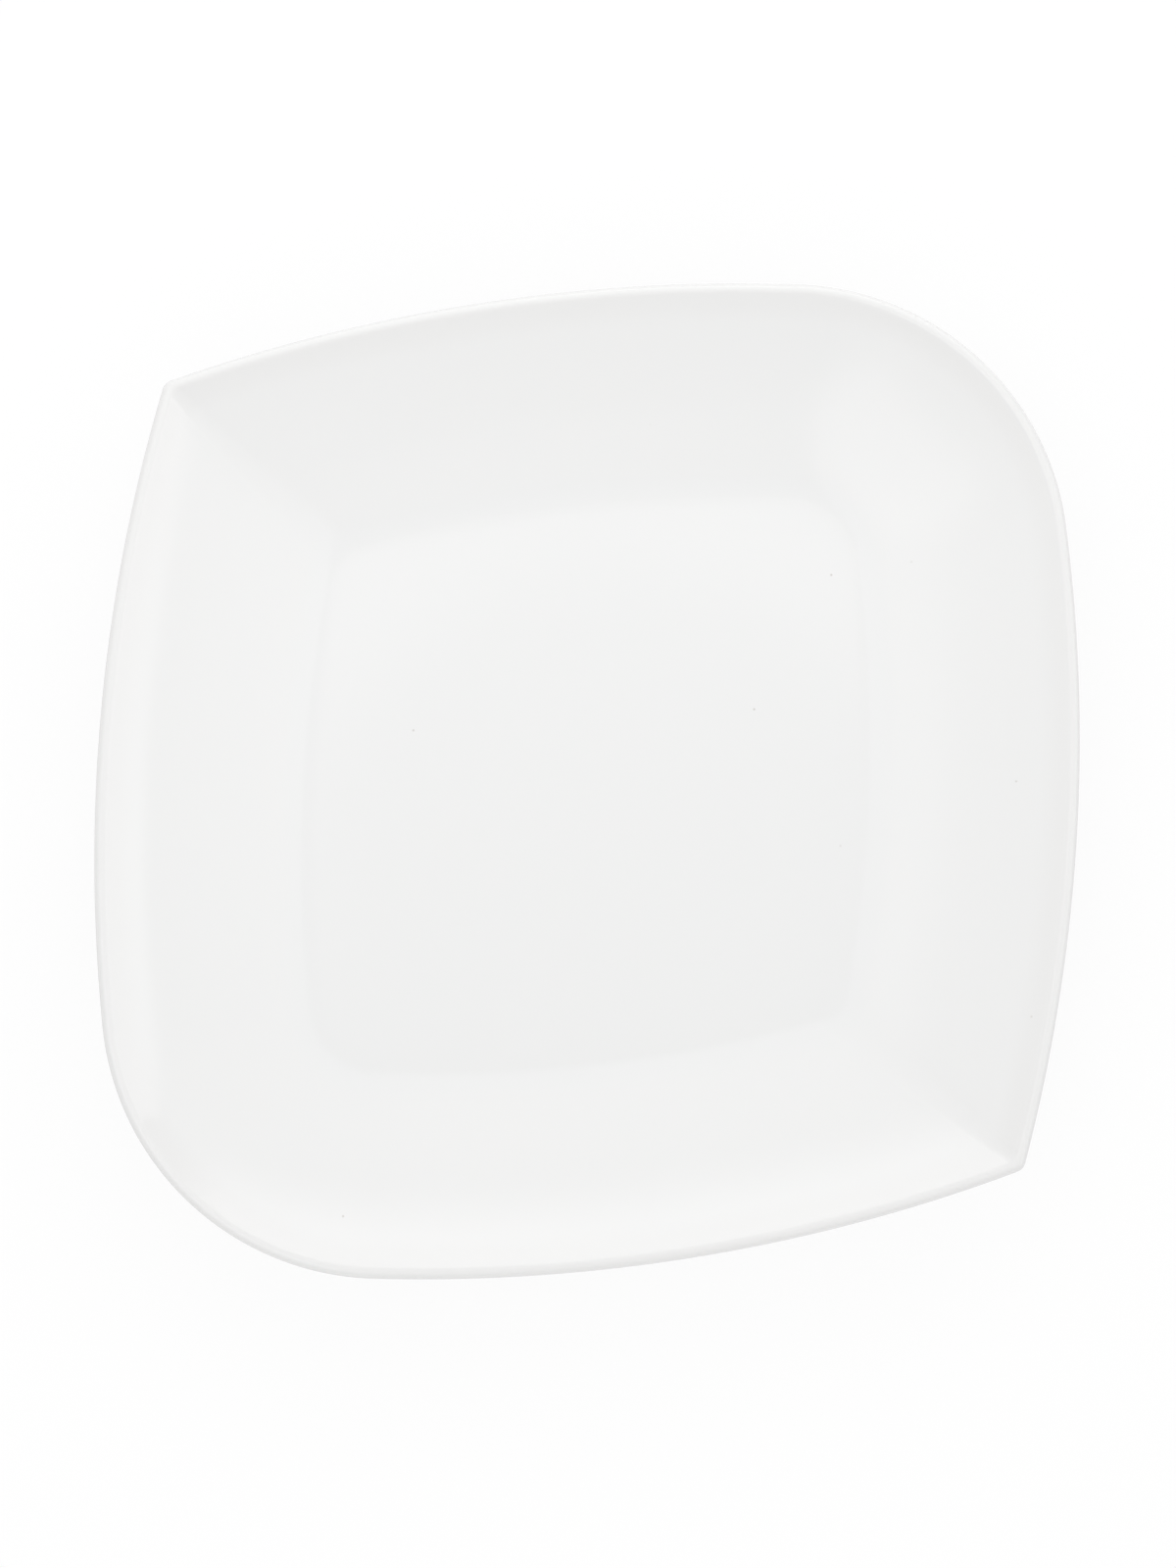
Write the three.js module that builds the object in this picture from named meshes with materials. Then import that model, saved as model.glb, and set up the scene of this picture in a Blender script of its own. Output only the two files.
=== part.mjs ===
// A squarish porcelain breakfast plate: fired body, bare foot ring and three coats of glaze.
// Millimetres, +Z up. The origin is the middle of the face that the foot stands on.
// Two opposite corners are points, the other two are round. The points lie towards -X +Y and +X -Y.
import * as THREE from 'three';

// Outline of the fired body, at its widest line
const pointToPoint = 258.0;
const roundToRound = 257.4;
const sideRadius = 376.0;
const cornerRadius = 61.5;
const pointRadius = 3.0;

// The outline softens towards the well: the radii of its points and round corners at the edge of the floor
const wellPointRadius = 10.0;
const wellCornerRadius = 14.0;

// Section of the body, measured inwards from the widest line and up from the table
const footHeight = 3.2;
const floorThickness = 4.4;
const floorInset = 45.7;
const wellRadius = 22.0;
const wellSlope = THREE.MathUtils.degToRad(14.0);
const rimSlope = THREE.MathUtils.degToRad(34.0);
const rimThickness = 2.8;

// Foot ring, set in under the flat floor, with a fillet at both roots
const footSetback = 1.0;
const footWidth = 5.0;
const footDraft = THREE.MathUtils.degToRad(12.0);
const footFillet = 1.3;
const footEdgeRadius = 0.7;

// Glaze coats, which stop short of the ground foot
const glazeThickness = 0.3;
const glazeLineHeight = 1.0;

// Steps of the curves
const pointSteps = 2;
const sideSteps = 6;
const cornerSteps = 6;
const quarterSteps = pointSteps + sideSteps + cornerSteps;
const wellSteps = 2;
const wallSteps = 5;
const lipSteps = 4;
const underLipSteps = 2;
const filletSteps = 2;

// Finishes
const biscuit = { color: 0xebeae6, roughness: 0.7, metalness: 0 };
const groundFoot = { color: 0xdedbd3, roughness: 0.8, metalness: 0 };
const glaze = { color: 0xf1f1ef, roughness: 0.12, metalness: 0 };

// Section points hold the inset from the widest line in x and the height in y
const sectionPoint = (inset, height) => new THREE.Vector2(inset, height);

// The arc of one side, through a point of the plate and tangent inside to the round corner's arc.
// u runs from the centre to a point of the plate, v from the centre to a round corner.
function sideCentre() {
  const tip = new THREE.Vector2(pointToPoint / 2, 0);
  const corner = new THREE.Vector2(0, roundToRound / 2 - cornerRadius);
  const span = tip.distanceTo(corner);
  const along = (sideRadius ** 2 - (sideRadius - cornerRadius) ** 2 + span ** 2) / (2 * span);
  const across = Math.sqrt(sideRadius ** 2 - along ** 2);
  const towards = corner.clone().sub(tip).divideScalar(span);
  const aside = new THREE.Vector2(-towards.y, towards.x);
  return tip.clone().addScaledVector(towards, along).addScaledVector(aside, across);
}

const side = sideCentre();

// A quarter of the outline at an inset: point fillet, side arc, corner fillet
function quarterOutline(inset) {
  const softening = inset / floorInset;
  const tipFillet = THREE.MathUtils.lerp(pointRadius, wellPointRadius, softening);
  const cornerFillet = Math.max(cornerRadius - inset, wellCornerRadius);
  const radius = sideRadius - inset;
  const tipU = side.x + Math.sqrt((radius - tipFillet) ** 2 - side.y ** 2);
  const cornerV = side.y + Math.sqrt((radius - cornerFillet) ** 2 - side.x ** 2);
  const tipTurn = Math.atan2(-side.y, tipU - side.x);
  const cornerTurn = Math.atan2(cornerV - side.y, -side.x);
  const arcs = [
    new THREE.ArcCurve(tipU, 0, tipFillet, 0, tipTurn).getPoints(pointSteps),
    new THREE.ArcCurve(side.x, side.y, radius, tipTurn, cornerTurn).getPoints(sideSteps),
    new THREE.ArcCurve(0, cornerV, cornerFillet, cornerTurn, Math.PI / 2).getPoints(cornerSteps),
  ];
  return [...arcs[0].slice(0, -1), ...arcs[1].slice(0, -1), ...arcs[2]];
}

// The whole outline, anticlockwise from above, turned so that the sides face X and Y
function outline(inset) {
  const quarter = quarterOutline(inset);
  const mirrored = quarter.slice(1, -1).reverse().map((p) => new THREE.Vector2(-p.x, p.y));
  const half = [...quarter, ...mirrored];
  const otherHalf = half.map((p) => p.clone().negate());
  const centre = new THREE.Vector2(0, 0);
  return [...half, ...otherHalf].map((p) => p.clone().rotateAround(centre, -Math.PI / 4));
}

// Solid swept by a section round the plate. The section runs outwards over the top and back in underneath.
// An open section ends in the flat middle of the plate at both ends, and a closed one is a ring.
// Diagonals are mirrored between quarters and don't depend on which way the section runs, so that two solids
// that touch share their triangles.
function sweep(section, closed) {
  const rings = section.map((p) => outline(p.x).map((q) => new THREE.Vector3(q.x, q.y, p.y)));
  const count = rings[0].length;
  const vertices = rings.flat();
  const triangles = [];
  const bands = closed ? rings.length : rings.length - 1;
  for (let ring = 0; ring < bands; ring += 1) {
    const after = (ring + 1) % rings.length;
    const runsOutwards = section[after].x < section[ring].x;
    for (let step = 0; step < count; step += 1) {
      const next = (step + 1) % count;
      const mirrored = Math.floor(step / quarterSteps) % 2 === 1;
      const [a, b] = [ring * count + step, ring * count + next];
      const [c, d] = [after * count + step, after * count + next];
      if (runsOutwards !== mirrored) {
        triangles.push(a, c, d, a, d, b);
      } else {
        triangles.push(a, c, b, b, c, d);
      }
    }
  }
  if (!closed) {
    const top = vertices.length;
    const bottom = top + 1;
    const last = (rings.length - 1) * count;
    vertices.push(new THREE.Vector3(0, 0, section[0].y), new THREE.Vector3(0, 0, section.at(-1).y));
    for (let step = 0; step < count; step += 1) {
      const next = (step + 1) % count;
      triangles.push(top, step, next);
      triangles.push(bottom, last + next, last + step);
    }
  }
  const geometry = new THREE.BufferGeometry().setFromPoints(vertices);
  geometry.setIndex(triangles);
  geometry.computeVertexNormals();
  return geometry;
}

// Points of an arc in the section, with its angles measured from straight out, upwards
function sectionArc(centre, radius, from, to, steps) {
  const points = [];
  for (let step = 0; step <= steps; step += 1) {
    const turn = THREE.MathUtils.lerp(from, to, step / steps);
    points.push(sectionPoint(centre.x - radius * Math.cos(turn), centre.y + radius * Math.sin(turn)));
  }
  return points;
}

// Face of the body at a slope: flat floor, rounded edge of the well, then the wall's long arc up to the lip
const lipRadius = rimThickness / 2;
const wallRun = floorInset - wellRadius * Math.sin(wellSlope) - lipRadius * (1 + Math.sin(rimSlope));
const wallRadius = wallRun / (Math.sin(rimSlope) - Math.sin(wellSlope));
const floorHeight = footHeight + floorThickness;

function faceAt(slope) {
  const inWell = Math.min(slope, wellSlope);
  const run = wellRadius * Math.sin(inWell) + wallRadius * (Math.sin(slope) - Math.sin(inWell));
  const rise = wellRadius * (1 - Math.cos(inWell)) + wallRadius * (Math.cos(inWell) - Math.cos(slope));
  return sectionPoint(floorInset - run, floorHeight + rise);
}

// Back of the body at a slope: square below the face, by a wall that thins from the floor to the rim
function backAt(slope) {
  const face = faceAt(slope);
  const thinning = Math.max(0, (slope - wellSlope) / (rimSlope - wellSlope));
  const wall = THREE.MathUtils.lerp(floorThickness, rimThickness, thinning);
  return sectionPoint(face.x - wall * Math.sin(slope), face.y - wall * Math.cos(slope));
}

function alongSlopes(surface, from, to, steps) {
  const points = [];
  for (let step = 0; step <= steps; step += 1) {
    points.push(surface(THREE.MathUtils.lerp(from, to, step / steps)));
  }
  return points;
}

// The lip is a full round, tangent to the face and to the back
const lipStart = faceAt(rimSlope);
const lipCentre = sectionPoint(
  lipStart.x - lipRadius * Math.sin(rimSlope),
  lipStart.y - lipRadius * Math.cos(rimSlope),
);

const facePath = [
  ...alongSlopes(faceAt, 0, wellSlope, wellSteps),
  ...alongSlopes(faceAt, wellSlope, rimSlope, wallSteps).slice(1),
  ...sectionArc(lipCentre, lipRadius, Math.PI / 2 + rimSlope, 0, lipSteps).slice(1),
];
const backPath = [
  ...sectionArc(lipCentre, lipRadius, 0, rimSlope - Math.PI / 2, underLipSteps).slice(1),
  ...alongSlopes(backAt, rimSlope, wellSlope, wallSteps).slice(1),
  ...alongSlopes(backAt, wellSlope, 0, wellSteps).slice(1),
];

// One flank of the foot, from the underside of the floor down to its flat bearing face
function footFlank(rootInset, inwards) {
  const wallTurn = Math.PI / 2 - footDraft;
  const fillet = [];
  for (let step = 0; step <= filletSteps; step += 1) {
    const turn = wallTurn * (step / filletSteps);
    fillet.push(sectionPoint(footFillet * Math.sin(turn), footHeight - footFillet * (1 - Math.cos(turn))));
  }
  const edge = [];
  const edgeTop = footEdgeRadius * (1 - Math.cos(wallTurn));
  const wallDrop = fillet.at(-1).y - edgeTop;
  const edgeStart = fillet.at(-1).x + wallDrop * Math.tan(footDraft);
  for (let step = 0; step <= filletSteps; step += 1) {
    const turn = wallTurn * (1 - step / filletSteps);
    const out = footEdgeRadius * (Math.sin(wallTurn) - Math.sin(turn));
    edge.push(sectionPoint(edgeStart + out, footEdgeRadius * (1 - Math.cos(turn))));
  }
  const lineInset = edgeStart - (glazeLineHeight - edgeTop) * Math.tan(footDraft);
  const glazeLine = sectionPoint(lineInset, glazeLineHeight);
  const place = (p) => sectionPoint(rootInset + inwards * p.x, p.y);
  return { glazed: [...fillet, glazeLine].map(place), bare: edge.map(place) };
}

const outerRoot = floorInset + footSetback;
const innerRoot = outerRoot + footFillet + footWidth + footFillet;
const outerFlank = footFlank(outerRoot, 1);
const innerFlank = footFlank(innerRoot, -1);

// A coat of glaze over a path: every stretch moves out square to itself, to the right of its direction
function coat(path) {
  const squareOff = (a, b) => sectionPoint(b.y - a.y, a.x - b.x).normalize();
  return path.map((p, at) => {
    const before = squareOff(path[Math.max(at - 1, 0)], path[Math.max(at, 1)]);
    const after = squareOff(path[Math.min(at, path.length - 2)], path[Math.min(at + 1, path.length - 1)]);
    const mitre = before.clone().add(after).normalize();
    return p.clone().addScaledVector(mitre, glazeThickness / mitre.dot(before));
  });
}

const outsidePath = [...facePath, ...backPath, ...outerFlank.glazed];
const outsideCoat = coat(outsidePath);
const widest = facePath.length;
const faceCoat = outsideCoat.slice(0, widest);
const backCoat = outsideCoat.slice(widest - 1);
const backCore = outsidePath.slice(widest - 1);

const middle = sectionPoint(innerRoot + footFillet, footHeight);
const insidePath = [...innerFlank.glazed.toReversed(), middle];
const insideCoat = coat(insidePath);

const underside = [outerFlank.glazed[0], innerFlank.glazed[0], middle];
const footSection = [
  ...outerFlank.glazed,
  ...outerFlank.bare,
  ...innerFlank.bare.toReversed(),
  ...innerFlank.glazed.toReversed(),
];

function piece(name, geometry, finish) {
  const mesh = new THREE.Mesh(geometry, new THREE.MeshStandardMaterial(finish));
  mesh.name = name;
  return mesh;
}

const plate = new THREE.Group();
plate.add(
  piece('porcelain_body', sweep([...facePath, ...backPath, ...underside], false), biscuit),
  piece('foot_ring', sweep(footSection, true), groundFoot),
  piece('face_glaze', sweep([...faceCoat, ...facePath.toReversed()], false), glaze),
  piece('back_glaze', sweep([...backCore.toReversed(), ...backCoat], true), glaze),
  piece('foot_well_glaze', sweep([...insidePath.toReversed(), ...insideCoat], false), glaze),
);

export default plate;
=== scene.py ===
"""Dresses a porcelain breakfast plate: fired body, ground foot ring, three glaze coats and a studio."""

import math
from collections import namedtuple

import bpy
from mathutils import Matrix, Vector, noise


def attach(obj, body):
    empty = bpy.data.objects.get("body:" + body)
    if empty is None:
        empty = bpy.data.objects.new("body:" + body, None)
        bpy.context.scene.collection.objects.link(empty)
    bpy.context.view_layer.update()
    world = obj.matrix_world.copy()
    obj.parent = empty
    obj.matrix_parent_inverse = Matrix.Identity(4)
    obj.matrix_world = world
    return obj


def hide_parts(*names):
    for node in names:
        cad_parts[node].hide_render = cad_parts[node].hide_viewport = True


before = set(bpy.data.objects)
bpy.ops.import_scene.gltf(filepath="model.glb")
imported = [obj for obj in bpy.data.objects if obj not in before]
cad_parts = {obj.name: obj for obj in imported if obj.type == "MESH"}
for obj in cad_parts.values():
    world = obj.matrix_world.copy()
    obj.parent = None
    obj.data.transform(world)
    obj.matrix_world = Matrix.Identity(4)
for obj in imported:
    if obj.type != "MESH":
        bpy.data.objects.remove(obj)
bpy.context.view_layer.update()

bl_info = {
    "name": "Breakfast plate",
    "version": (1, 0, 0),
    "blender": (4, 5, 0),
    "location": "3D View > Sidebar > Plate",
    "description": "Builds a glazed porcelain breakfast plate and the studio that it is shown in",
    "category": "Add Mesh",
}

Softbox = namedtuple("Softbox", "name turn rise reach width height brightness edge mirrored")
Grain = namedtuple("Grain", "waves detail low high")
Relief = namedtuple("Relief", "waves detail strength depth")

# Softboxes round the plate: turn from +X towards +Y and rise above the floor in degrees, then the distance
# from the plate, width and height in metres, the brightness where 1 is white, the width of the soft edge in
# metres, and whether the glaze mirrors it
SOFTBOXES = (
    Softbox("back_softbox", 95, 50, 0.47, 0.66, 0.27, 0.95, 0.38, False),
    Softbox("back_glow_softbox", 84, 28, 1.20, 1.50, 0.38, 1.40, 0.40, True),
    Softbox("right_strip_softbox", -5, 30, 1.25, 1.40, 0.40, 0.93, 0.05, True),
    Softbox("left_softbox", 226, 32, 1.20, 1.30, 0.40, 0.90, 0.15, False),
    Softbox("front_softbox", 282, 40, 1.30, 1.20, 0.70, 0.60, 0.43, False),
    Softbox("corner_softbox", 216, 66, 1.35, 1.10, 0.60, 0.66, 0.40, True),
)

MM = 0.001
DEPTH_LAYER = "glaze_depth"

# The picture in pixels, the camera's sensor in millimetres and the nearest distance that it sees in metres
IMAGE_WIDTH = 1200
IMAGE_HEIGHT = 1600
SENSOR_SIZE = 36.0
NEAREST_SEEN = 0.01

# Steps along a path across the plate: round the well's edge, along the wall and round the lip
BODY_FACE_STEPS = (8, 14, 8)
BODY_BACK_STEPS = (8, 14, 4)
GLAZE_FACE_STEPS = (20, 40, 20)
GLAZE_BACK_STEPS = (14, 36, 12)

# Steps down a flank of the foot: round its fillet and down its wall
FOOT_STEPS = (8, 8)
GLAZED_FOOT_STEPS = (8, 14)

# Steps across a flat middle, from its edge to the centre
BODY_MIDDLE_STEPS = 6
FACE_MIDDLE_STEPS = 30
FOOT_WELL_MIDDLE_STEPS = 16

# Waves of the firing warp round the rim: how many, their turn in radians and their share of the warp, and the
# power of the distance from the middle with which it grows
WARP_WAVES = ((2, 0.7, 1.0), (3, 2.1, 0.6))
WARP_GROWTH = 3

# Heights at which the noise is cut, so that the ripples and the glaze line differ
RIPPLE_CUT = 0.37
WANDER_CUT = 4.1

# Noise in a finish: waves to the metre, detail, and the stretch of its values that the effect runs over
GLAZE_DRIFT = Grain(24, 2, 0.35, 0.7)
GLOSS_DRIFT = Grain(160, 3, 0.3, 0.7)
BISCUIT_MOTTLE = Grain(90, 4, 0.35, 0.7)
FOOT_SMUDGE = Grain(70, 4, 0.45, 0.75)
GRAIN_ROUGHNESS = 0.55

# Fine relief in a finish: waves to the metre, detail, strength and depth in metres
GLAZE_PEEL = Relief(330, 2, 0.12, 0.02 * MM)
BISCUIT_GRAIN = Relief(2600, 3, 0.4, 0.03 * MM)

# Grinding marks on the foot: waves to the metre along them, across them and up, detail, strength and depth
# in metres, their turn in radians, and the ranges that take their noise to dirt and to roughness
GRINDING = Relief((40, 1400, 600), 3.0, 0.5, 0.04 * MM)
GRINDING_TURN = 0.5
GRINDING_DIRT = ((0.4, 0.65), (0.2, 1))
GRINDING_ROUGHNESS = ((0.3, 0.7), (0.72, 0.92))

# Specks: cells to the metre, the radius of a dot's core and of its soft edge as shares of a cell, the range
# of a cell's own value over which its dot appears, and how strong the strongest dot is
SPECK_CELLS = 52.0
SPECK_RADIUS = (0.008, 0.018)
SPECK_CHANCE = (0.90, 0.99)
SPECK_STRENGTH = 0.4


def length(name, description, millimetres):
    """A property that holds a length, with its default in millimetres."""
    return bpy.props.FloatProperty(
        name=name, description=description, default=millimetres * MM,
        min=0.0, precision=5, subtype="DISTANCE", unit="LENGTH",
    )


def angle(name, description, degrees):
    """A property that holds an angle, with its default in degrees."""
    return bpy.props.FloatProperty(
        name=name, description=description, default=math.radians(degrees), subtype="ANGLE", unit="ROTATION",
    )


def colour(name, description, rgb):
    """A property that holds a linear colour."""
    return bpy.props.FloatVectorProperty(
        name=name, description=description, default=rgb, size=3, min=0.0, max=1.0, subtype="COLOR",
    )


def share(name, description, default):
    """A property that holds a plain number from 0 to 1."""
    return bpy.props.FloatProperty(
        name=name, description=description, default=default, min=0.0, max=1.0, subtype="FACTOR",
    )


def level(name, description, default):
    """A property that holds how bright a light's face is, where 1 is white."""
    return bpy.props.FloatProperty(name=name, description=description, default=default, min=0.0)


def count(name, description, default):
    """A property that holds a number of steps."""
    return bpy.props.IntProperty(name=name, description=description, default=default, min=1)


class PlateSizes(bpy.types.PropertyGroup):
    """Sizes of the fired body, its foot and its glaze."""

    point_to_point: length("Point to point", "Across the two pointed corners", 258.0)
    round_to_round: length("Round to round", "Across the two round corners", 257.4)
    side_radius: length("Side radius", "Radius of each bowed side", 376.0)
    corner_radius: length("Corner radius", "Radius of each round corner at the rim", 61.5)
    point_radius: length("Point radius", "Radius of each pointed corner at the rim", 3.0)
    well_point_radius: length("Well point radius", "Radius of the pointed corners at the floor's edge", 10.0)
    well_corner_radius: length("Well corner radius", "Least radius of the round corners in the well", 14.0)
    foot_height: length("Foot height", "From the table to the underside of the floor", 3.2)
    floor_thickness: length("Floor thickness", "Thickness of the body at the floor", 4.4)
    floor_inset: length("Floor inset", "From the widest line in to the flat floor", 45.7)
    well_radius: length("Well radius", "Radius of the rounded edge of the well", 22.0)
    well_slope: angle("Well slope", "Slope at which the wall leaves the well's rounded edge", 14.0)
    rim_slope: angle("Rim slope", "Slope of the wall at the lip", 34.0)
    rim_thickness: length("Rim thickness", "Thickness of the body at the lip", 2.8)
    foot_setback: length("Foot setback", "From the flat floor's edge in to the root of the foot", 1.0)
    foot_width: length("Foot width", "Width of the foot under its fillets", 5.0)
    foot_draft: angle("Foot draft", "Lean of the foot's flanks", 12.0)
    foot_fillet: length("Foot fillet", "Radius at the roots of the foot", 1.3)
    foot_edge_radius: length("Foot edge radius", "Radius at the edges of the bearing face", 0.7)
    glaze_thickness: length("Glaze thickness", "Thickness of each coat of glaze", 0.3)
    glaze_line: length("Glaze line", "Height on the foot where the glaze stops", 1.0)
    glaze_pool: share("Glaze pool", "Extra thickness of the glaze where it pools round the well", 0.35)
    glaze_thin: share("Glaze thinning", "Share of its thickness that the glaze loses at the lip", 0.25)
    thin_reach: length("Thin reach", "How far from the lip the glaze begins to thin", 7.0)
    bead_height: length("Bead height", "Height of the rounded bead where the glaze ends on the foot", 0.9)
    bead_swell: share("Bead swell", "Extra thickness of the glaze in the middle of its bead", 0.3)
    bead_step: share("Bead step", "Thickness of the glaze at its very end", 0.1)
    line_wander: length("Line wander", "How far the glaze line wanders up and down the foot", 0.22)
    warp: length("Firing warp", "Height of the main wave in the rim after firing", 0.12)
    ripple: length("Surface ripple", "Height of the slow waves in the glazed surface", 0.014)
    ripple_size: length("Ripple size", "Size of the slow waves in the glazed surface", 38.0)
    wander_size: length("Wander size", "Size of the waves in which the glaze line wanders", 9.0)
    point_steps: count("Point steps", "Steps round half a pointed corner", 8)
    side_steps: count("Side steps", "Steps along half a side", 30)
    corner_steps: count("Corner steps", "Steps round half a round corner", 24)


class PlateFinish(bpy.types.PropertyGroup):
    """Colours and gloss of the porcelain."""

    glaze: colour("Glaze", "Colour of the glazed porcelain", (0.90, 0.90, 0.895))
    pooled: colour("Pooled glaze", "Colour where the glaze lies thick", (0.894, 0.897, 0.894))
    # Darker than the glaze, so that the lip, where the glaze thins over the body, is painted in shade with it
    thin_glaze_and_shade: colour("Thin glaze", "Colour where the body shows through thin glaze", (0.880, 0.878, 0.872))
    speck: colour("Speck", "Colour of the tiny dark specks", (0.42, 0.38, 0.33))
    biscuit: colour("Biscuit", "Colour of the fired body", (0.88, 0.875, 0.86))
    bare_foot: colour("Bare foot", "Colour of the ground foot", (0.82, 0.805, 0.77))
    foot_dirt: colour("Foot dirt", "Colour of the grey rubbed into the ground foot", (0.50, 0.485, 0.455))
    gloss: share("Glaze roughness", "Roughness of the glaze", 0.06)
    gloss_drift: share("Gloss drift", "Share by which the roughness of the glaze rises and falls", 0.3)
    glaze_index: bpy.props.FloatProperty(
        name="Glaze index", description="Refractive index of the glaze", default=1.52, min=1.0,
    )
    drift: share("Glaze drift", "Most of the pooled colour that drifts into the glaze", 0.3)
    biscuit_roughness: share("Biscuit roughness", "Roughness of the fired body", 0.8)
    mottle: share("Biscuit mottle", "Most of the foot's colour that shows in the fired body", 0.35)
    smudge: share("Foot smudge", "Most of the rubbed grey that shows on the ground foot", 0.6)


class PlateStage(bpy.types.PropertyGroup):
    """Camera, floor and lights."""

    camera_place: bpy.props.FloatVectorProperty(
        name="Camera place", description="Where the camera stands",
        default=(-0.0347, -0.1068, 0.8670), subtype="XYZ", unit="LENGTH",
    )
    camera_target: bpy.props.FloatVectorProperty(
        name="Camera target", description="The point in the middle of the picture",
        default=(-0.0006, -0.0025, 0.0241), subtype="XYZ", unit="LENGTH",
    )
    camera_turn: angle("Camera turn", "Turn of the picture's up from +Y towards +X", 2.45)
    lens: bpy.props.FloatProperty(
        name="Lens", description="Focal length for a 36 mm sensor, in millimetres",
        default=88.12, unit="CAMERA",
    )
    floor: colour("Floor", "Colour of the floor", (0.6, 0.6, 0.6))
    floor_size: length("Floor size", "Width of the floor", 6000.0)
    floor_gap: length("Floor gap", "How far the floor lies under the foot", 0.02)
    shadow: share("Shadow", "Share of the floor's white that shadows can take away", 0.1)
    overhead: level("Overhead", "Brightness of the room above, where the horizon is 1", 0.64)
    dusk: share("Dusk height", "Sine of the height angle above which the room is as dark as overhead", 0.10)
    gap: share("Gap overhead", "Share of the room's light that is missing in the gap overhead", 0.75)
    gap_right: angle("Gap to the right", "How far the gap's middle leans from straight up to +X", 2.6)
    gap_back: angle("Gap to the back", "How far the gap's middle leans from straight up to +Y", 5.9)
    gap_inside: angle("Gap inside", "Radius within which the gap is at its darkest", 3.6)
    gap_outside: angle("Gap outside", "Radius from which the room is as light as elsewhere", 5.5)
    gap_spread: bpy.props.FloatProperty(
        name="Gap spread", description="How fast the gap widens towards the front", default=1.0, min=0.0,
    )
    gap_tail: angle("Gap tail", "How far in front of its middle the gap has faded out", 50.0)
    lamps: level("Lamps", "Brightness of the softboxes, as a share of their own", 1.0)


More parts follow.
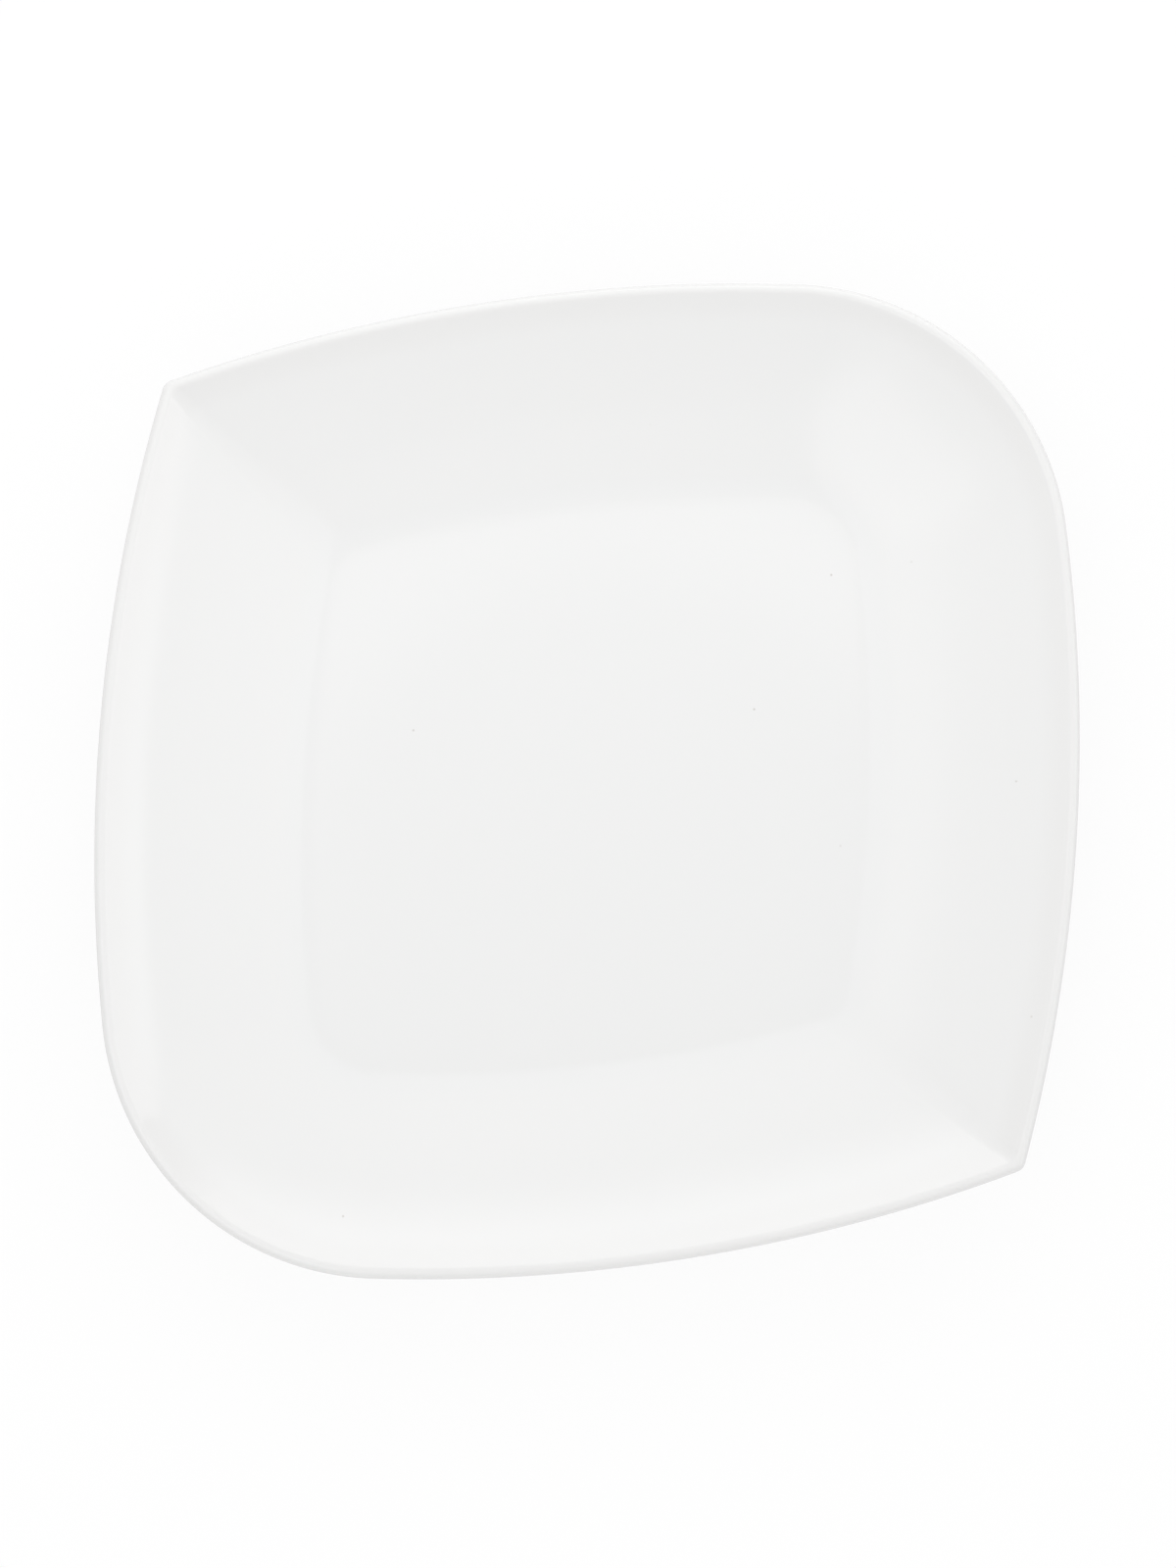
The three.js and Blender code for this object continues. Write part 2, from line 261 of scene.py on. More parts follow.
class Section:
    """Paths across the plate. A point is (inset from the body's widest line, height), in metres."""

    def __init__(self, sizes):
        self.sizes = sizes
        self.lip_radius = sizes.rim_thickness / 2
        self.floor_height = sizes.foot_height + sizes.floor_thickness
        lip_run = self.lip_radius * (1 + math.sin(sizes.rim_slope))
        wall_run = sizes.floor_inset - sizes.well_radius * math.sin(sizes.well_slope) - lip_run
        self.wall_radius = wall_run / (math.sin(sizes.rim_slope) - math.sin(sizes.well_slope))

    def face_at(self, slope):
        """Face of the body where it has a slope: the rounded edge of the well, then the wall's long arc."""
        s = self.sizes
        in_well = min(slope, s.well_slope)
        run = s.well_radius * math.sin(in_well) + self.wall_radius * (math.sin(slope) - math.sin(in_well))
        rise = s.well_radius * (1 - math.cos(in_well))
        rise += self.wall_radius * (math.cos(in_well) - math.cos(slope))
        return (s.floor_inset - run, self.floor_height + rise)

    def back_at(self, slope):
        """Back of the body, square below the face, by a wall that thins towards the rim."""
        s = self.sizes
        inset, height = self.face_at(slope)
        thinning = max(0.0, (slope - s.well_slope) / (s.rim_slope - s.well_slope))
        wall = s.floor_thickness + (s.rim_thickness - s.floor_thickness) * thinning
        return (inset - wall * math.sin(slope), height - wall * math.cos(slope))

    def lip(self, start, end, steps):
        """Arc of the rounded lip, with angles measured from straight out, upwards."""
        s = self.sizes
        inset, height = self.face_at(s.rim_slope)
        inset -= self.lip_radius * math.sin(s.rim_slope)
        height -= self.lip_radius * math.cos(s.rim_slope)
        turns = spread(start, end, steps)
        return [
            (inset - self.lip_radius * math.cos(turn), height + self.lip_radius * math.sin(turn))
            for turn in turns
        ]

    def face_path(self, well_steps, wall_steps, lip_steps):
        """From the edge of the floor up the wall and over the lip to the widest line."""
        s = self.sizes
        well = [self.face_at(slope) for slope in spread(0, s.well_slope, well_steps)]
        wall = [self.face_at(slope) for slope in spread(s.well_slope, s.rim_slope, wall_steps)]
        return well + wall[1:] + self.lip(math.pi / 2 + s.rim_slope, 0, lip_steps)[1:]

    def back_path(self, well_steps, wall_steps, lip_steps):
        """From the widest line under the lip and down the back to the edge of the flat underside."""
        s = self.sizes
        wall = [self.back_at(slope) for slope in spread(s.rim_slope, s.well_slope, wall_steps)]
        well = [self.back_at(slope) for slope in spread(s.well_slope, 0, well_steps)]
        return self.lip(0, s.rim_slope - math.pi / 2, lip_steps) + wall[1:] + well[1:]

    def glaze_depth(self, point):
        """Depth of the glaze at a point as a share: more at the well, less at the lip, beaded at its end."""
        s = self.sizes
        inset, height = point
        well_run = s.well_radius * math.sin(s.well_slope)
        lip_height = self.lip(0, 0, 1)[0][1]
        depth = 1.0
        if height > s.foot_height + s.floor_thickness / 2:
            depth += s.glaze_pool * bell((inset - s.floor_inset + well_run / 2) / well_run)
        lip_away = math.hypot(inset - self.lip_radius, height - lip_height) - self.lip_radius
        depth -= s.glaze_thin * bell(max(0.0, lip_away) / s.thin_reach)
        bead_at = max(0.0, (height - s.glaze_line) / s.bead_height)
        if bead_at < 1:
            rounded = math.sqrt(1 - (1 - bead_at)**4)
            swollen = 1 + 4 * s.bead_swell * bead_at * (1 - bead_at)
            depth *= rounded * swollen + s.bead_step * (1 - bead_at)
        return depth

    def glazed(self, path):
        """The outer face of the glaze over a path, and the glaze's depth at each of its points."""
        depths = [self.glaze_depth(point) for point in path]
        return coat(path, [self.sizes.glaze_thickness * depth for depth in depths]), depths

    def flank(self, outer, fillet_steps, wall_steps):
        """One flank of the foot: (glazed path to the glaze line, bare path on to the bearing face)."""
        s = self.sizes
        wall_turn = math.pi / 2 - s.foot_draft
        glazed = [
            (s.foot_fillet * math.sin(turn), s.foot_height - s.foot_fillet * (1 - math.cos(turn)))
            for turn in spread(0, wall_turn, fillet_steps)
        ]
        run, drop = glazed[-1]
        lean = math.tan(s.foot_draft)
        edge_top = s.foot_edge_radius * (1 - math.cos(wall_turn))
        for height in spread(drop, s.glaze_line, wall_steps)[1:]:
            glazed.append((run + (drop - height) * lean, height))
        edge_run = run + (drop - edge_top) * lean
        bare = [
            (
                edge_run + s.foot_edge_radius * (math.sin(wall_turn) - math.sin(turn)),
                s.foot_edge_radius * (1 - math.cos(turn)),
            )
            for turn in spread(wall_turn, 0, fillet_steps)
        ]
        root = s.floor_inset + s.foot_setback
        if outer:
            return [(root + x, z) for x, z in glazed], [(root + x, z) for x, z in bare]
        root += 2 * s.foot_fillet + s.foot_width
        return [(root - x, z) for x, z in glazed], [(root - x, z) for x, z in bare]


def spread(start, end, steps):
    """Evenly spaced numbers from start to end, both included."""
    return [start + (end - start) * step / steps for step in range(steps + 1)]


def bell(distance):
    """A smooth bump: 1 at no distance, and 0 from a distance of 1."""
    away = min(abs(distance), 1.0)
    return (1 - away * away)**2


def coat(path, thickness):
    """A path moved out square to itself, to the right of its direction, by a thickness for each point."""
    moved = []
    for at, (x, z) in enumerate(path):
        normals = []
        for first in (max(at - 1, 0), min(at, len(path) - 2)):
            (ax, az), (bx, bz) = path[first], path[first + 1]
            run = math.hypot(bx - ax, bz - az)
            normals.append(((bz - az) / run, (ax - bx) / run))
        mitre_x = normals[0][0] + normals[1][0]
        mitre_z = normals[0][1] + normals[1][1]
        size = math.hypot(mitre_x, mitre_z)
        cosine = (mitre_x * normals[0][0] + mitre_z * normals[0][1]) / size
        reach = thickness[at] / cosine / size
        moved.append((x + mitre_x * reach, z + mitre_z * reach))
    return moved


def side_centre(sizes):
    """Centre of a side's arc: through a pointed corner and tangent inside to the round corner's arc."""
    tip = Vector((sizes.point_to_point / 2, 0))
    corner = Vector((0, sizes.round_to_round / 2 - sizes.corner_radius))
    span = (corner - tip).length
    along = (sizes.side_radius**2 - (sizes.side_radius - sizes.corner_radius)**2 + span**2) / (2 * span)
    across = math.sqrt(sizes.side_radius**2 - along**2)
    towards = (corner - tip) / span
    return tip + towards * along + Vector((-towards.y, towards.x)) * across


def outline(sizes, inset):
    """The plate's outline at an inset, anticlockwise from above, with its sides facing X and Y."""
    side = side_centre(sizes)
    softening = inset / sizes.floor_inset
    tip_fillet = sizes.point_radius + (sizes.well_point_radius - sizes.point_radius) * softening
    corner_fillet = max(sizes.corner_radius - inset, sizes.well_corner_radius)
    radius = sizes.side_radius - inset
    tip_u = side.x + math.sqrt((radius - tip_fillet)**2 - side.y**2)
    corner_v = side.y + math.sqrt((radius - corner_fillet)**2 - side.x**2)
    tip_turn = math.atan2(-side.y, tip_u - side.x)
    corner_turn = math.atan2(corner_v - side.y, -side.x)
    arcs = (
        (tip_u, 0, tip_fillet, 0, tip_turn, sizes.point_steps),
        (side.x, side.y, radius, tip_turn, corner_turn, sizes.side_steps),
        (0, corner_v, corner_fillet, corner_turn, math.pi / 2, sizes.corner_steps),
    )
    quarter = []
    for u, v, arc_radius, start, end, steps in arcs:
        for turn in spread(start, end, steps)[:-1]:
            quarter.append((u + arc_radius * math.cos(turn), v + arc_radius * math.sin(turn)))
    quarter.append((0, corner_v + corner_fillet))
    half = quarter + [(-u, v) for u, v in reversed(quarter[1:-1])]
    whole = half + [(-u, -v) for u, v in half]
    eighth_turn = math.sqrt(0.5)
    return [(eighth_turn * (u + v), eighth_turn * (v - u)) for u, v in whole]


def fired(sizes, x, y, z):
    """Where a point lies after firing: slow warp at the rim, gentle waves and a wandering glaze line."""
    reach = 2 * math.hypot(x, y) / sizes.point_to_point
    around = math.atan2(y, x)
    waves = sum(part * math.sin(number * around + turn) for number, turn, part in WARP_WAVES)
    warp = sizes.warp * reach**WARP_GROWTH * waves
    wave = sizes.ripple * noise.noise(Vector((x / sizes.ripple_size, y / sizes.ripple_size, RIPPLE_CUT)))
    held = min(1.0, max(0.0, z / (sizes.foot_height + sizes.floor_thickness)))
    near_line = max(0.0, 1 - abs(z - sizes.glaze_line) / sizes.glaze_line)
    along = Vector((x / sizes.wander_size, y / sizes.wander_size, WANDER_CUT))
    wander = sizes.line_wander * near_line * noise.noise(along)
    return (x, y, z + (warp + wave) * held + wander)


def sweep(name, sizes, section, closed, middle_steps=0, depths=()):
    """A mesh swept by a section round the plate, which runs outwards over the top and back in underneath.

    An open section is filled across the flat middle at both ends, in rings that shrink to the centre.
    The depth of the glaze at each point of a section is kept on the mesh for its colour.
    """
    rings = []
    ring_depths = list(depths)
    for inset, height in section:
        rings.append([fired(sizes, x, y, height) for x, y in outline(sizes, inset)])
    if not closed:
        shares = spread(1, 0, middle_steps)[1:-1]
        for end in (0, -1):
            inset, height = section[end]
            edge = outline(sizes, inset)
            inner = [[fired(sizes, x * k, y * k, height) for x, y in edge] for k in shares]
            rings = inner[::-1] + rings if end == 0 else rings + inner
        if depths:
            ring_depths = [depths[0]] * len(shares) + ring_depths + [depths[-1]] * len(shares)
    number = len(rings[0])
    vertices = [point for ring in rings for point in ring]
    faces = []
    for ring in range(len(rings) if closed else len(rings) - 1):
        after = (ring + 1) % len(rings)
        for step in range(number):
            following = (step + 1) % number
            faces.append((
                ring * number + step, after * number + step,
                after * number + following, ring * number + following,
            ))
    if not closed:
        for ring, height in ((0, section[0][1]), (len(rings) - 1, section[-1][1])):
            centre = len(vertices)
            vertices.append(fired(sizes, 0, 0, height))
            for step in range(number):
                pair = (ring * number + step, ring * number + (step + 1) % number)
                faces.append((centre, *pair) if ring == 0 else (centre, *reversed(pair)))
    mesh = bpy.data.meshes.new(name)
    mesh.from_pydata(vertices, [], faces)
    mesh.validate()
    mesh.shade_smooth()
    if depths:
        values = [depth for depth in ring_depths for _ in range(number)]
        if not closed:
            values += [depths[0], depths[-1]]
        layer = mesh.attributes.new(DEPTH_LAYER, "FLOAT", "POINT")
        layer.data.foreach_set("value", values)
    piece = bpy.data.objects.new(name, mesh)
    bpy.context.scene.collection.objects.link(piece)
    return piece


def settle(piece, node, material):
    """Gives a piece its finish, hides the solid that it stands for and fixes it to the plate."""
    piece.data.materials.append(material)
    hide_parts(node)
    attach(piece, "root")


def add_node(tree, kind, settings=None, inputs=None):
    """A shader node with its settings and unlinked inputs filled in."""
    made = tree.nodes.new(kind)
    for key, value in (settings or {}).items():
        setattr(made, key, value)
    for key, value in (inputs or {}).items():
        made.inputs[key].default_value = value
    return made


def new_material(name):
    """A material with a plain shader, its tree, the shader and object coordinates."""
    material = bpy.data.materials.new(name)
    material.use_nodes = True
    tree = material.node_tree
    shader = tree.nodes["Principled BSDF"]
    place = add_node(tree, "ShaderNodeTexCoord").outputs["Object"]
    return material, tree, shader, place


def opaque(rgb):
    """A colour with full alpha."""
    return (*rgb, 1.0)


def grain(tree, place, per_metre, detail):
    """Noise over the surface, with so many waves to the metre."""
    made = add_node(tree, "ShaderNodeTexNoise", inputs={
        "Scale": per_metre, "Detail": detail, "Roughness": GRAIN_ROUGHNESS,
    })
    tree.links.new(place, made.inputs["Vector"])
    return made.outputs["Fac"]


def maths(tree, operation, *values):
    """One step of arithmetic. A value is a socket or a plain number."""
    made = add_node(tree, "ShaderNodeMath", settings={"operation": operation})
    for at, value in enumerate(values):
        if isinstance(value, bpy.types.NodeSocket):
            tree.links.new(value, made.inputs[at])
        else:
            made.inputs[at].default_value = value
    return made.outputs["Value"]


def ranged(tree, value, band, span, interpolation="LINEAR"):
    """A value taken from one range, its band, to another, its span, and held inside it."""
    settings = {"clamp": True, "interpolation_type": interpolation}
    made = add_node(tree, "ShaderNodeMapRange", settings=settings, inputs={
        "From Min": band[0], "From Max": band[1], "To Min": span[0], "To Max": span[1],
    })
    tree.links.new(value, made.inputs["Value"])
    return made.outputs["Result"]


def eased(tree, value, band, span):
    """A value taken smoothly from one range to another, and held inside it."""
    return ranged(tree, value, band, span, "SMOOTHSTEP")


def varied(tree, place, drift, span):
    """A value that the noise of a finish moves up and down within a range."""
    height = grain(tree, place, drift.waves, drift.detail)
    return ranged(tree, height, (drift.low, drift.high), span)


def blended(tree, factor, first, second):
    """Two colours mixed by a factor. A colour is a socket or plain numbers."""
    made = add_node(tree, "ShaderNodeMix", settings={"data_type": "RGBA"})
    tree.links.new(factor, made.inputs["Factor"])
    for key, value in (("A", first), ("B", second)):
        socket = next(s for s in made.inputs if s.name == key and s.type == "RGBA")
        if isinstance(value, bpy.types.NodeSocket):
            tree.links.new(value, socket)
        else:
            socket.default_value = opaque(value)
    return next(s for s in made.outputs if s.type == "RGBA")


def bumped(tree, shader, height, relief):
    """Fine relief on the shader's normal, as deep and strong as asked."""
    made = add_node(tree, "ShaderNodeBump", inputs={"Strength": relief.strength, "Distance": relief.depth})
    tree.links.new(height, made.inputs["Height"])
    tree.links.new(made.outputs["Normal"], shader.inputs["Normal"])


def specks(tree, place):
    """How much of a dark speck shows: tiny round dots in a few of the cells that divide the surface."""
    cells = add_node(tree, "ShaderNodeTexVoronoi", settings={"voronoi_dimensions": "2D"}, inputs={
        "Scale": SPECK_CELLS,
    })
    tree.links.new(place, cells.inputs["Vector"])
    parts = add_node(tree, "ShaderNodeSeparateColor")
    tree.links.new(cells.outputs["Color"], parts.inputs["Color"])
    dot = ranged(tree, cells.outputs["Distance"], SPECK_RADIUS, (1, 0))
    rare = ranged(tree, parts.outputs["Red"], SPECK_CHANCE, (0, SPECK_STRENGTH))
    return maths(tree, "MULTIPLY", dot, rare)


def glaze_material(sizes, finish, name):
    """Glossy white glaze: a tint that follows its depth, painted shade at the lip, faint drift, a few dark
    specks and a soft peel.
    """
    material, tree, shader, place = new_material(name)
    depth = add_node(tree, "ShaderNodeAttribute", settings={"attribute_name": DEPTH_LAYER}).outputs["Fac"]
    drift = varied(tree, place, GLAZE_DRIFT, (0, finish.drift))
    thick = ranged(tree, depth, (1, 1 + sizes.glaze_pool), (0, 1))
    # Where the glaze thins at the lip it takes the darker thin colour: painted shade on the lip
    thin_glaze_and_shade = ranged(tree, depth, (1 - sizes.glaze_thin, 1), (1, 0))
    tinted = blended(tree, drift, finish.glaze, finish.pooled)
    tinted = blended(tree, thick, tinted, finish.pooled)
    tinted = blended(tree, thin_glaze_and_shade, tinted, finish.thin_glaze_and_shade)
    tree.links.new(blended(tree, specks(tree, place), tinted, finish.speck), shader.inputs["Base Color"])
    roughness = (finish.gloss * (1 - finish.gloss_drift), finish.gloss * (1 + finish.gloss_drift))
    tree.links.new(varied(tree, place, GLOSS_DRIFT, roughness), shader.inputs["Roughness"])
    bumped(tree, shader, grain(tree, place, GLAZE_PEEL.waves, GLAZE_PEEL.detail), GLAZE_PEEL)
    shader.inputs["IOR"].default_value = finish.glaze_index
    return material


def biscuit_material(finish):
    """Fired body: matt, faintly mottled and fine grained."""
    material, tree, shader, place = new_material("fired_biscuit")
    mottle = varied(tree, place, BISCUIT_MOTTLE, (0, finish.mottle))
    tree.links.new(blended(tree, mottle, finish.biscuit, finish.bare_foot), shader.inputs["Base Color"])
    shader.inputs["Roughness"].default_value = finish.biscuit_roughness
    bumped(tree, shader, grain(tree, place, BISCUIT_GRAIN.waves, BISCUIT_GRAIN.detail), BISCUIT_GRAIN)
    return material


def foot_material(finish):
    """Ground foot: bare matt porcelain with grey rubbed into fine grinding marks."""
    material, tree, shader, place = new_material("ground_porcelain")
    stretched = add_node(tree, "ShaderNodeMapping", inputs={
        "Rotation": (0, 0, GRINDING_TURN), "Scale": GRINDING.waves,
    })
    tree.links.new(place, stretched.inputs["Vector"])
    scratches = add_node(tree, "ShaderNodeTexNoise", inputs={"Scale": 1.0, "Detail": GRINDING.detail})
    tree.links.new(stretched.outputs["Vector"], scratches.inputs["Vector"])
    marks = scratches.outputs["Fac"]
    smudge = varied(tree, place, FOOT_SMUDGE, (0, finish.smudge))
    rubbed = maths(tree, "MULTIPLY", ranged(tree, marks, *GRINDING_DIRT), smudge)
    tree.links.new(blended(tree, rubbed, finish.bare_foot, finish.foot_dirt), shader.inputs["Base Color"])
    tree.links.new(ranged(tree, marks, *GRINDING_ROUGHNESS), shader.inputs["Roughness"])
    bumped(tree, shader, marks, GRINDING)
    return material


class PLATE_OT_body(bpy.types.Operator):
    """Build the fired body under the glaze"""

    bl_idname = "plate.body"
    bl_label = "Fired body"

    def execute(self, context):
        sizes = context.scene.plate_sizes
        section = Section(sizes)
        outer_root = section.flank(True, *FOOT_STEPS)[0][0]
        inner_root = section.flank(False, *FOOT_STEPS)[0][0]
        face = section.face_path(*BODY_FACE_STEPS)
        back = section.back_path(*BODY_BACK_STEPS)
        path = face + back[1:] + [outer_root, inner_root]
        piece = sweep("fired_body", sizes, path, False, BODY_MIDDLE_STEPS)
        settle(piece, "porcelain_body", biscuit_material(context.scene.plate_finish))
        return {"FINISHED"}


class PLATE_OT_foot_ring(bpy.types.Operator):
    """Build the bare, ground foot ring"""

    bl_idname = "plate.foot_ring"
    bl_label = "Foot ring"

    def execute(self, context):
        sizes = context.scene.plate_sizes
        section = Section(sizes)
        outer_glazed, outer_bare = section.flank(True, *FOOT_STEPS)
        inner_glazed, inner_bare = section.flank(False, *FOOT_STEPS)
        path = outer_glazed + outer_bare + inner_bare[::-1] + inner_glazed[::-1]
        piece = sweep("ground_foot", sizes, path, True)
        settle(piece, "foot_ring", foot_material(context.scene.plate_finish))
        return {"FINISHED"}


class PLATE_OT_face_glaze(bpy.types.Operator):
    """Build the glaze coat on the eating side"""

    bl_idname = "plate.face_glaze"
    bl_label = "Face glaze"

    def execute(self, context):
        sizes = context.scene.plate_sizes
        section = Section(sizes)
        core = section.face_path(*GLAZE_FACE_STEPS)
        over, depths = section.glazed(core + section.back_path(*BODY_BACK_STEPS)[1:])
        over, depths = over[:len(core)], depths[:len(core)]
        path = over + core[::-1]
        piece = sweep("glazed_face", sizes, path, False, FACE_MIDDLE_STEPS, depths + depths[::-1])
        finish = glaze_material(sizes, context.scene.plate_finish, "face_glaze")
        settle(piece, "face_glaze", finish)
        return {"FINISHED"}


class PLATE_OT_back_glaze(bpy.types.Operator):
    """Build the glaze coat on the back, down to the glaze line on the foot"""

    bl_idname = "plate.back_glaze"
    bl_label = "Back glaze"

    def execute(self, context):
        sizes = context.scene.plate_sizes
        section = Section(sizes)
        face = section.face_path(*GLAZE_FACE_STEPS)
        core = section.back_path(*GLAZE_BACK_STEPS) + section.flank(True, *GLAZED_FOOT_STEPS)[0]
        over, depths = section.glazed(face + core[1:])
        over, depths = over[len(face) - 1:], depths[len(face) - 1:]
        piece = sweep("glazed_back", sizes, core[::-1] + over, True, 0, depths[::-1] + depths)
        finish = glaze_material(sizes, context.scene.plate_finish, "back_glaze")
        settle(piece, "back_glaze", finish)
        return {"FINISHED"}


class PLATE_OT_foot_well_glaze(bpy.types.Operator):
    """Build the patch of glaze inside the foot ring"""

    bl_idname = "plate.foot_well_glaze"
    bl_label = "Foot well glaze"

    def execute(self, context):
        sizes = context.scene.plate_sizes
        section = Section(sizes)
        core = section.flank(False, *GLAZED_FOOT_STEPS)[0][::-1]
        inset, height = core[-1]
        core.append((inset + sizes.foot_fillet, height))
        over, depths = section.glazed(core)
        path = core[::-1] + over
        piece = sweep("glazed_foot_well", sizes, path, False, FOOT_WELL_MIDDLE_STEPS, depths[::-1] + depths)
        finish = glaze_material(sizes, context.scene.plate_finish, "foot_well_glaze")
        settle(piece, "foot_well_glaze", finish)
        return {"FINISHED"}


def seen_directly(tree):
    """1 for what the camera sees, straight, mirrored or through glass, and 0 for light on its way."""
    path = add_node(tree, "ShaderNodeLightPath")
    seen = path.outputs["Is Camera Ray"]
    for key in ("Is Glossy Ray", "Is Transmission Ray"):
        seen = maths(tree, "MAXIMUM", seen, path.outputs[key])
    return seen


def floor_material(stage):
    """White to the eye, apart from the share that shadows take, and plain pale to the light it throws."""
    material = bpy.data.materials.new("pale_floor")
    material.use_nodes = True
    tree = material.node_tree
    tree.nodes.clear()
    plain = add_node(tree, "ShaderNodeBsdfDiffuse", inputs={"Color": opaque(stage.floor)})
    shaded = add_node(tree, "ShaderNodeBsdfDiffuse", inputs={"Color": opaque([stage.shadow] * 3)})
    white = add_node(tree, "ShaderNodeEmission", inputs={"Strength": 1 - stage.shadow})
    shown = add_node(tree, "ShaderNodeAddShader")
    mixed = add_node(tree, "ShaderNodeMixShader")
    output = add_node(tree, "ShaderNodeOutputMaterial")
    tree.links.new(white.outputs["Emission"], shown.inputs[0])
    tree.links.new(shaded.outputs["BSDF"], shown.inputs[1])
    tree.links.new(seen_directly(tree), mixed.inputs["Fac"])
    tree.links.new(plain.outputs["BSDF"], mixed.inputs[1])
    tree.links.new(shown.outputs["Shader"], mixed.inputs[2])
    tree.links.new(mixed.outputs["Shader"], output.inputs["Surface"])
    return material


def make_floor(stage):
    """A plain square floor, just under the foot."""
    half = stage.floor_size / 2
    corners = [(x * half, y * half, -stage.floor_gap) for x, y in ((-1, -1), (1, -1), (1, 1), (-1, 1))]
    mesh = bpy.data.meshes.new("floor")
    mesh.from_pydata(corners, [], [(0, 1, 2, 3)])
    mesh.materials.append(floor_material(stage))
    floor = bpy.data.objects.new("floor", mesh)
    bpy.context.scene.collection.objects.link(floor)


def make_world(stage):
    """A pale room: white at the horizon, greyer above, with a dark gap that fades out to the front."""
    world = bpy.data.worlds.new("studio")
    world.use_nodes = True
    tree = world.node_tree
    way = add_node(tree, "ShaderNodeTexCoord").outputs["Generated"]
    parts = add_node(tree, "ShaderNodeSeparateXYZ")
    tree.links.new(way, parts.inputs["Vector"])
    walls = eased(tree, parts.outputs["Z"], (0, stage.dusk), (1, stage.overhead))
    height = maths(tree, "MAXIMUM", parts.outputs["Z"], stage.dusk)
    slope_right = maths(tree, "DIVIDE", parts.outputs["X"], height)
    slope_back = maths(tree, "DIVIDE", parts.outputs["Y"], height)
    right = maths(tree, "SUBTRACT", slope_right, math.tan(stage.gap_right))
    back = maths(tree, "SUBTRACT", slope_back, math.tan(stage.gap_back))
    behind = maths(tree, "MAXIMUM", back, 0)
    before = maths(tree, "MAXIMUM", maths(tree, "MULTIPLY", back, -1), 0)
    aside = maths(tree, "SQRT", maths(
        tree, "ADD", maths(tree, "MULTIPLY", right, right), maths(tree, "MULTIPLY", behind, behind),
    ))
    away = maths(tree, "DIVIDE", aside, maths(tree, "MULTIPLY_ADD", before, stage.gap_spread, 1))
    gap_edge = (math.tan(stage.gap_inside), math.tan(stage.gap_outside))
    dark = eased(tree, away, gap_edge, (stage.gap, 0))
    kept = eased(tree, before, (0, math.tan(stage.gap_tail)), (1, 0))
    opening = maths(tree, "SUBTRACT", 1, maths(tree, "MULTIPLY", dark, kept))
    room = tree.nodes["Background"]
    room.inputs["Color"].default_value = (1, 1, 1, 1)
    tree.links.new(maths(tree, "MULTIPLY", walls, opening), room.inputs["Strength"])
    bpy.context.scene.world = world


def make_softbox(stage, box):
    """A soft rectangular light aimed at the plate. Its brightness is 1 for white and fades at its edges."""
    light = bpy.data.lights.new(box.name, "AREA")
    light.shape = "RECTANGLE"
    light.size = box.width + box.edge
    light.size_y = box.height + box.edge
    light.energy = stage.lamps * box.brightness * math.pi * light.size * light.size_y
    light.use_nodes = True
    tree = light.node_tree
    across = add_node(tree, "ShaderNodeSeparateXYZ")
    tree.links.new(add_node(tree, "ShaderNodeNewGeometry").outputs["Parametric"], across.inputs["Vector"])
    fades = []
    face_middle = 0.5
    for key, size in (("X", light.size), ("Y", light.size_y)):
        inwards = maths(tree, "PINGPONG", across.outputs[key], face_middle)
        fades.append(eased(tree, inwards, (0, box.edge / size), (0, 1)))
    tree.links.new(maths(tree, "MULTIPLY", *fades), tree.nodes["Emission"].inputs["Strength"])
    turn = math.radians(box.turn)
    rise = math.radians(box.rise)
    way = Vector((math.cos(rise) * math.cos(turn), math.cos(rise) * math.sin(turn), math.sin(rise)))
    lamp = bpy.data.objects.new(box.name, light)
    lamp.matrix_world = aimed(way * box.reach, Vector((0, 0, 0)), Vector((0, 0, 1)))
    lamp.visible_camera = False
    lamp.visible_glossy = box.mirrored
    bpy.context.scene.collection.objects.link(lamp)


def aimed(place, target, up_hint):
    """A camera's or a light's matrix at a place, looking at a target."""
    back = (place - target).normalized()
    right = up_hint.cross(back).normalized()
    up = back.cross(right)
    turned = Matrix((right, up, back)).transposed().to_4x4()
    return Matrix.Translation(place) @ turned


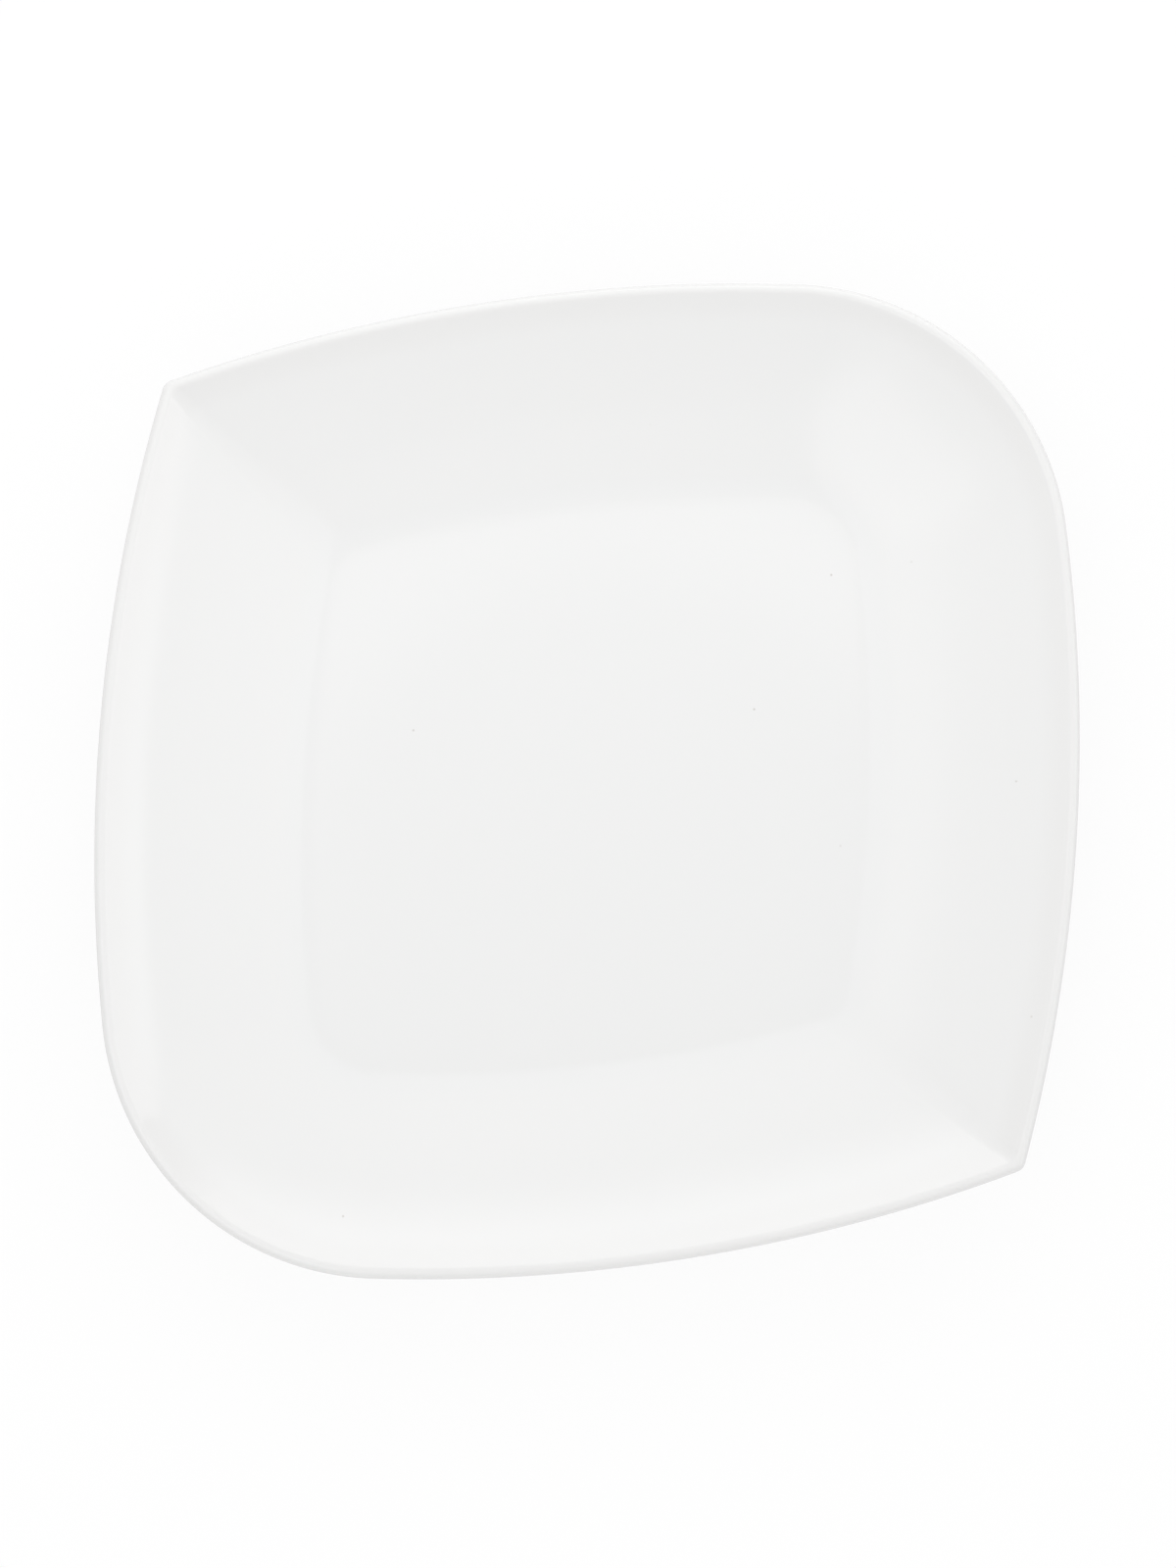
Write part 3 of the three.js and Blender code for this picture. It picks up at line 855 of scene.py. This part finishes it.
def make_camera(stage):
    """The camera at the photograph's angle. The sensor's width lies along the picture's longer side."""
    camera = bpy.data.cameras.new("camera")
    camera.sensor_fit = "VERTICAL" if IMAGE_HEIGHT > IMAGE_WIDTH else "HORIZONTAL"
    camera.sensor_width = SENSOR_SIZE
    camera.sensor_height = SENSOR_SIZE
    camera.lens = stage.lens
    camera.clip_start = NEAREST_SEEN
    holder = bpy.data.objects.new("camera", camera)
    up_hint = Vector((math.sin(stage.camera_turn), math.cos(stage.camera_turn), 0))
    holder.matrix_world = aimed(Vector(stage.camera_place), Vector(stage.camera_target), up_hint)
    bpy.context.scene.collection.objects.link(holder)
    bpy.context.scene.camera = holder


class PLATE_OT_stage(bpy.types.Operator):
    """Build the floor, the lights and the camera"""

    bl_idname = "plate.stage"
    bl_label = "Studio"

    def execute(self, context):
        stage = context.scene.plate_stage
        context.scene.view_settings.view_transform = "Standard"
        make_floor(stage)
        make_world(stage)
        make_camera(stage)
        for box in SOFTBOXES:
            make_softbox(stage, box)
        return {"FINISHED"}


class PLATE_PT_panel(bpy.types.Panel):
    """Sizes, finish, studio and the steps that build them"""

    bl_idname = "PLATE_PT_panel"
    bl_label = "Breakfast plate"
    bl_space_type = "VIEW_3D"
    bl_region_type = "UI"
    bl_category = "Plate"

    def draw(self, context):
        for group in (context.scene.plate_sizes, context.scene.plate_finish, context.scene.plate_stage):
            box = self.layout.box()
            for key in group.bl_rna.properties.keys():
                if key not in ("rna_type", "name"):
                    box.prop(group, key)
        for operator in OPERATORS:
            self.layout.operator(operator.bl_idname)


GROUPS = {"plate_sizes": PlateSizes, "plate_finish": PlateFinish, "plate_stage": PlateStage}
OPERATORS = (
    PLATE_OT_body, PLATE_OT_foot_ring, PLATE_OT_face_glaze, PLATE_OT_back_glaze, PLATE_OT_foot_well_glaze,
    PLATE_OT_stage,
)
CLASSES = (*GROUPS.values(), *OPERATORS, PLATE_PT_panel)


def register():
    """Adds the plate's settings, steps and panel to Blender."""
    for kind in CLASSES:
        bpy.utils.register_class(kind)
    for key, kind in GROUPS.items():
        setattr(bpy.types.Scene, key, bpy.props.PointerProperty(type=kind))


def unregister():
    """Takes the plate's settings, steps and panel out of Blender."""
    for key in GROUPS:
        delattr(bpy.types.Scene, key)
    for kind in reversed(CLASSES):
        bpy.utils.unregister_class(kind)


def main():
    """Builds the plate and its studio."""
    register()
    bpy.ops.plate.body()
    bpy.ops.plate.foot_ring()
    bpy.ops.plate.face_glaze()
    bpy.ops.plate.back_glaze()
    bpy.ops.plate.foot_well_glaze()
    bpy.ops.plate.stage()


if __name__ == "__main__":
    main()
